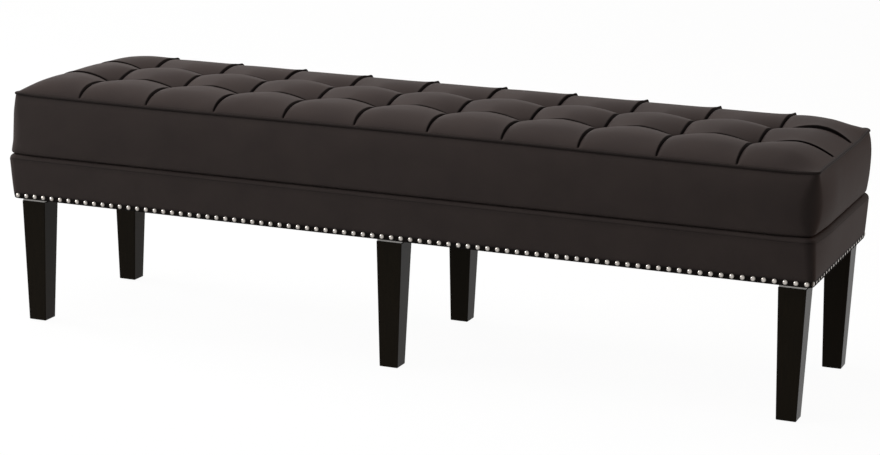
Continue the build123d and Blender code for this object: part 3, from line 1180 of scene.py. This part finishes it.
@dataclass
class NailTrim:
    """The nickel nails along the foot of the lower cover, one row on each side."""

    pitch: float = 19.05
    radius: float = 5.4
    rise: float = 3.4
    fineness: tuple[int, int] = (12, 6)

    def tree(self, nickel: bpy.types.Material) -> bpy.types.NodeTree:
        """Builds the node tree of one row.

        Args:
            nickel: the heads' finish.

        Returns:
            The tree.
        """
        sizes = {
            "NodeSocketInt": ("Count",),
            "NodeSocketVector": ("First", "Step", "Facing"),
            "NodeSocketFloat": ("Radius", "Rise"),
        }
        tree, given = new_repeat("nail_row", sizes)
        line = {"Count": given["Count"], "Start Location": given["First"], "Offset": given["Step"]}
        row = add_node(tree, "GeometryNodeMeshLine", line, mode="OFFSET")[0]
        turn = add_node(tree, "FunctionNodeEulerToRotation", {"Euler": given["Facing"]})[0]
        return close_repeat(tree, given, {"Points": row, "Rotation": turn}, self.fineness, nickel)

    def build(self, nickel: bpy.types.Material) -> None:
        """Makes the four rows and fixes them to the bench.

        Args:
            nickel: the heads' finish.
        """
        tree = self.tree(nickel)
        for side in Side:
            name, facing = side.value
            low, high = box_mm(f"{name}_nails")
            half_head = (high[2] - low[2]) / 2
            run = 0 if side in (Side.FRONT, Side.REAR) else 1
            out = 1 - run
            first, last = (low + high) / 2, (low + high) / 2
            first[run], last[run] = low[run] + half_head, high[run] - half_head
            first[out] = last[out] = low[out] if high[out] > 0 else high[out]
            count = round((last[run] - first[run]) / self.pitch) + 1
            sizes = {
                "Count": count,
                "First": tuple(first * MM),
                "Step": tuple((last - first) / (count - 1) * MM),
                "Facing": tuple(math.radians(turn) for turn in facing),
                "Radius": self.radius * MM,
                "Rise": self.rise * MM,
            }
            settle(grow(f"{name}_nail_heads", tree, sizes), Slot.NICKEL, f"{name}_nails")


@dataclass
class RailCover:
    """The padded leather round the rails: it leans out upwards and rolls in at the waist, with a
    faint fold in the roll. A shade is pairs of a distance, from the foot or from the waist, and
    how dark the painted shade makes the leather there, which stands for the shadow between the
    nails and in the fold at the waist."""

    plan: Plan
    foot_swell: float = 9.0
    foot_ends: tuple[float, float] = (6.0, 2.6)
    foot_flat: float = 6.0
    foot_edge: float = 2.5
    foot_edge_steps: int = 5
    foot_edge_least: float = 0.5
    shoulder_swell: float = 14.5
    shoulder_ends: tuple[float, float] = (9.5, 1.2)
    corner: float = 14.0
    corner_least: float = 2.0
    # painted shade for the shadow round the nail row and in the waist's fold
    nail_shade: tuple[tuple[float, float], ...] = ((10.0, 0.85), (14.0, 0.0))
    waist_shade: tuple[tuple[float, float], ...] = ((11.5, 0), (8.6, 0.42), (6.5, 0.2), (0, 0.1))
    rises: tuple[float, ...] = (0.05, 0.095, 0.14, 0.19, 0.3, 0.45, 0.6, 0.75, 0.9)
    lean_power: float = 0.8
    roll: float = 10.5
    roll_turns: tuple[float, ...] = (0, 6, 11, 16, 25, 38, 51, 64, 77, 90)
    fold_turn: float = 11.0
    fold_depth: float = 0.7
    hem: float = 20.0
    upright: float = 9.0
    upright_from: float = 0.2
    thickness: float = 1.5
    ripple: Ripple = Ripple(0.5, 73.0, 0.4, 19.0)
    ripple_from: float = 0.5

    def section(self, inset: float) -> np.ndarray:
        """Gives the cover's section from its lower hem to its upper one.

        Args:
            inset: how far inside the outer face it runs.

        Returns:
            Rows of level and swell.
        """
        foot, waist = (corner[2] for corner in box_mm("rail_cover"))
        made = [(foot + inset, -self.hem), (foot + inset, self.foot_swell - self.foot_flat)]
        start, edge = foot + self.foot_edge, self.foot_swell - self.foot_edge
        reach = max(self.foot_edge - inset, self.foot_edge_least)
        for turn in np.radians(np.linspace(-90, 0, self.foot_edge_steps)):
            made.append((start + reach * math.sin(turn), edge + reach * math.cos(turn)))
        shoulder, edge = waist - self.roll, self.shoulder_swell - self.roll
        for share in self.rises:
            lean = (self.shoulder_swell - self.foot_swell) * share**self.lean_power
            made.append((start + (shoulder - start) * share, self.foot_swell + lean - inset))
        for degrees in self.roll_turns:
            turn = math.radians(degrees)
            reach = self.roll - inset - (self.fold_depth if degrees == self.fold_turn else 0)
            made.append((shoulder + reach * math.sin(turn), edge + reach * math.cos(turn)))
        made.append((waist - inset, -self.hem))
        return np.array(made)

    def build(self, leather: bpy.types.Material) -> None:
        """Makes the cover as one closed skin and fixes it to the bench.

        Args:
            leather: its finish.
        """
        foot, waist = (corner[2] for corner in box_mm("rail_cover"))
        stations = []
        for inset, way in ((0.0, 1), (self.thickness, -1)):
            for level, swell in self.section(inset)[::way]:
                corner = max(self.corner - self.foot_swell + swell, self.corner_least)
                share = np.clip((level - foot) / (waist - foot), 0, 1)
                ends = np.array(self.foot_ends) * (1 - share) + np.array(self.shoulder_ends) * share
                x, y = self.plan.ring(swell, corner, ends).T
                lean = max(0, (share - self.upright_from) / (1 - self.upright_from))
                x = self.plan.draw_in(x, y, self.upright * lean)
                loose = swell > self.foot_swell + self.ripple_from
                wave = self.ripple.wave(x, y, level) if loose else 0.0
                stations.append(np.column_stack([x, y + np.sign(y) * wave, np.full(len(x), level)]))
        piece = ring_piece("rail_upholstery", stations, True, leather)
        # painted shade by level, from the foot and from the waist
        shades = [(foot + rise, dark) for rise, dark in self.nail_shade]
        shades += [(waist - drop, dark) for drop, dark in self.waist_shade]
        paint_crease_shade(piece, np.interp(np.vstack(stations)[:, 2], *zip(*shades)))
        pads = [f"{side.value[0]}_rail_pad" for side in Side]
        settle(piece, Slot.LEATHER, "rail_cover", *pads)


@dataclass
class Legs:
    """Six square legs that taper to the floor, with softly rounded edges."""

    rows: tuple[str, ...] = ("front", "rear")
    places: tuple[str, ...] = ("left", "centre", "right")
    top: float = 51.0
    foot: float = 37.0
    edge: float = 1.6
    edge_steps: int = 3
    bands: int = 8

    def build(self, lacquer: bpy.types.Material) -> None:
        """Makes the legs and fixes them to the bench.

        Args:
            lacquer: their finish.
        """
        square = np.array([(-1, -1), (1, -1), (1, 1), (-1, 1)])
        for name in (f"{row}_{place}" for row in self.rows for place in self.places):
            low, high = box_mm(f"{name}_leg")
            stations = []
            for share in np.linspace(0, 1, self.bands):
                reach = self.foot / 2 + (self.top / 2 - self.foot / 2) * share
                corners = (low + high)[:2] / 2 + square * reach
                level = low[2] + (high[2] - low[2]) * share
                stations.append(np.column_stack([corners, np.full(len(square), level)]))
            piece = ring_piece(f"lacquered_leg_{name}", stations, False, lacquer)
            bevel = piece.modifiers.new("rounded_edges", "BEVEL")
            bevel.width = self.edge * MM
            bevel.segments = self.edge_steps
            bevel.limit_method = "ANGLE"
            bevel.harden_normals = True
            settle(piece, Slot.LACQUER, f"{name}_leg")


@dataclass
class Underside:
    """The black cloth tacked under the frame, which sags a little between the rails."""

    sag: float = 2.5
    sag_power: float = 1.5
    thickness: float = 0.6
    steps: tuple[int, int] = (120, 40)
    free_half_depth: float = 140.0
    held_end: float = 40.0
    free_run: float = 200.0
    sway: tuple[float, float] = (0.2, 170.0)  # how much the sag varies, and over what length

    def build(self, cloth: bpy.types.Material) -> None:
        """Makes the cloth and fixes it to the bench.

        Args:
            cloth: its finish.
        """
        low, high = box_mm("dust_cover")
        x, y = np.meshgrid(
            np.linspace(low[0], high[0], self.steps[0] + 1),
            np.linspace(low[1], high[1], self.steps[1] + 1),
        )
        free = np.clip(1 - (y / self.free_half_depth) ** 2, 0, 1)
        free = free * np.clip((high[0] - self.held_end - np.abs(x)) / self.free_run, 0, 1)
        share, run = self.sway
        sag = self.sag * free**self.sag_power * (1 - share + share * np.sin(x / run))
        points = np.dstack([x, y, (low[2] + high[2]) / 2 - sag])
        piece = new_piece("underside_cloth", points, grid_faces(x.shape), cloth)
        wall = piece.modifiers.new("cloth_thickness", "SOLIDIFY")
        wall.thickness = self.thickness * MM
        wall.offset = 0
        settle(piece, Slot.CLOTH, "dust_cover")


@dataclass
class Carcass:
    """The solids that keep their shape: the wooden frame, its fastenings and the tuft ties, by
    the ends of their names."""

    frame: dict
    timber: tuple[str, ...] = ("_rail", "_block", "_cleat", "_board", "_dowels")
    steel: tuple[str, ...] = ("_plates", "_bolts")
    nylon: tuple[str, ...] = ("_glides", "_toggles")
    cord: tuple[str, ...] = ("_ties",)

    def dress(self, wardrobe: Wardrobe) -> None:
        """Gives each solid its finish.

        Args:
            wardrobe: the finishes.
        """
        groups = {
            Slot.WOOD: self.timber,
            Slot.STEEL: self.steel,
            Slot.PLASTIC: self.nylon,
            Slot.CLOTH: self.cord,
        }
        for slot, ends in groups.items():
            for name in (name for name in self.frame["nodes"] if name.endswith(ends)):
                for place in self.frame["nodes"][name].material_slots:
                    place.material = wardrobe[slot]
                LOG.info("%s dresses %s", wardrobe[slot].name, name)


# ---------------------------------------------------------------- the studio


@dataclass(frozen=True)
class Softbox:
    """A soft lamp that faces the seat, with its place and size in metres. Shiny finishes show
    it where it is mirrored."""

    name: str
    place: tuple[float, float, float]
    size: tuple[float, float]
    watts: float
    tint: str = "#ffffff"
    mirrored: bool = False
    aim: tuple[float, float, float] = (0.0, 0.0, 0.4)

    def hang(self) -> None:
        """Adds the lamp to the scene."""
        data = bpy.data.lights.new(self.name, "AREA")
        data.shape = "RECTANGLE"
        data.size, data.size_y = self.size
        data.energy = self.watts
        data.color = linear(self.tint)[:3]
        lamp = bpy.data.objects.new(self.name, data)
        lamp.location = self.place
        ahead = Vector(self.aim) - Vector(self.place)
        lamp.rotation_euler = ahead.to_track_quat("-Z", "Y").to_euler()
        lamp.visible_glossy = self.mirrored
        bpy.context.collection.objects.link(lamp)


@dataclass
class Studio:
    """A pale floor, a white surround, five soft lamps and the camera, whose turns are in
    degrees."""

    place: tuple[float, float, float] = (1650.46, -4096.24, 1265.86)
    yaw: float = 21.71
    pitch: float = 13.19
    roll: float = 1.15
    lens: float = 95.77
    sensor: float = 36.0
    white: str = "#ffffff"
    surround: float = 0.06
    floor_grey: float = 0.6
    floor_white: float = 0.96  # how much of what the eye sees of the floor is plain white
    floor_reach: float = 15000.0
    lamps: tuple[Softbox, ...] = (
        Softbox("overhead_softbox", (-0.45, -0.25, 2.9), (3.4, 1.6), 121),
        Softbox("left_softbox", (-9.5, -6.9, 3.8), (4.5, 4.5), 800, mirrored=True),
        Softbox("left_end_softbox", (-4.4, 0.3, 1.9), (2.0, 2.0), 260),
        Softbox("right_softbox", (5.0, 4.6, 1.7), (2.6, 2.6), 225, "#ffb070"),
        Softbox("rear_softbox", (-5.0, 6.4, 3.0), (4.0, 3.0), 345),
    )

    @staticmethod
    def seen(tree: bpy.types.NodeTree) -> bpy.types.NodeSocket:
        """Tells the eye, mirrors and glass from what only lights the bench.

        Args:
            tree: the material's or the world's tree.

        Returns:
            A socket that is 1 for rays from the camera, a reflection or a clear piece.
        """
        path = add_node(tree, "ShaderNodeLightPath")
        sight = path["Is Camera Ray"]
        for ray in ("Is Glossy Ray", "Is Transmission Ray"):
            either = {0: sight, 1: path[ray]}
            sight = add_node(tree, "ShaderNodeMath", either, operation="MAXIMUM")[0]
        return sight

    def world(self) -> None:
        """Makes the surround: white to the eye and in reflections, softer as a light."""
        world = bpy.data.worlds.new("white_surround")
        world.use_nodes = True
        tree = world.node_tree
        tree.nodes.clear()
        ends = {"Value": self.seen(tree), "To Min": self.surround, "To Max": 1.0}
        strength = add_node(tree, "ShaderNodeMapRange", ends)[0]
        glow = {"Color": linear(self.white), "Strength": strength}
        sky = add_node(tree, "ShaderNodeBackground", glow)[0]
        add_node(tree, "ShaderNodeOutputWorld", {"Surface": sky})
        bpy.context.scene.world = world

    def floor(self) -> None:
        """Lays a white floor that keeps a soft shadow."""
        material = bpy.data.materials.new("white_floor")
        material.use_nodes = True
        tree = material.node_tree
        tree.nodes.clear()
        grey = (self.floor_grey, self.floor_grey, self.floor_grey, 1.0)
        matt = add_node(tree, "ShaderNodeBsdfDiffuse", {"Color": grey})[0]
        bright = {"Color": linear(self.white), "Strength": 1.0}
        glow = add_node(tree, "ShaderNodeEmission", bright)[0]
        part = {0: self.seen(tree), 1: self.floor_white}
        share = add_node(tree, "ShaderNodeMath", part, operation="MULTIPLY")[0]
        mixed = add_node(tree, "ShaderNodeMixShader", {0: share, 1: matt, 2: glow})[0]
        add_node(tree, "ShaderNodeOutputMaterial", {"Surface": mixed})
        corners = np.array([(-1, -1, 0), (1, -1, 0), (1, 1, 0), (-1, 1, 0)]) * self.floor_reach
        new_piece("studio_floor", corners, [(0, 1, 2, 3)], material)

    def camera(self) -> None:
        """Sets the camera."""
        yaw, pitch, roll = (math.radians(turn) for turn in (self.yaw, self.pitch, self.roll))
        flat = math.cos(pitch)
        ahead = Vector((-math.sin(yaw) * flat, math.cos(yaw) * flat, -math.sin(pitch)))
        level = Vector((math.cos(yaw), math.sin(yaw), 0))
        upright = level.cross(ahead)
        right = math.cos(roll) * level + math.sin(roll) * upright
        up = -math.sin(roll) * level + math.cos(roll) * upright
        data = bpy.data.cameras.new("camera")
        data.sensor_width = self.sensor
        data.lens = self.lens
        camera = bpy.data.objects.new("camera", data)
        turned = Matrix((right, up, -ahead)).transposed().to_4x4()
        turned.translation = Vector(self.place) * MM
        camera.matrix_world = turned
        bpy.context.collection.objects.link(camera)
        bpy.context.scene.camera = camera

    def build(self) -> None:
        """Sets up the floor, the light and the camera."""
        bpy.context.scene.view_settings.view_transform = "Standard"
        self.world()
        self.floor()
        for lamp in self.lamps:
            lamp.hang()
        self.camera()


def main() -> None:
    """Builds the bench, piece by piece, then the studio."""
    logging.basicConfig(level=logging.INFO, format="%(name)s: %(message)s")
    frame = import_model()
    wardrobe = Wardrobe()
    plan, corners = Plan.of_frame(), Corners()
    leather = wardrobe[Slot.LEATHER]
    Carcass(frame).dress(wardrobe)
    top = TuftedTop(plan, corners)
    top.build(leather)
    Buttons(top).build(leather)
    CushionSides(plan, corners).build(leather)
    SeamWelt(plan, corners).build(leather)
    RailCover(plan).build(leather)
    NailTrim().build(wardrobe[Slot.NICKEL])
    Legs().build(wardrobe[Slot.LACQUER])
    Underside().build(wardrobe[Slot.CLOTH])
    Studio().build()


if __name__ == "__main__":
    main()
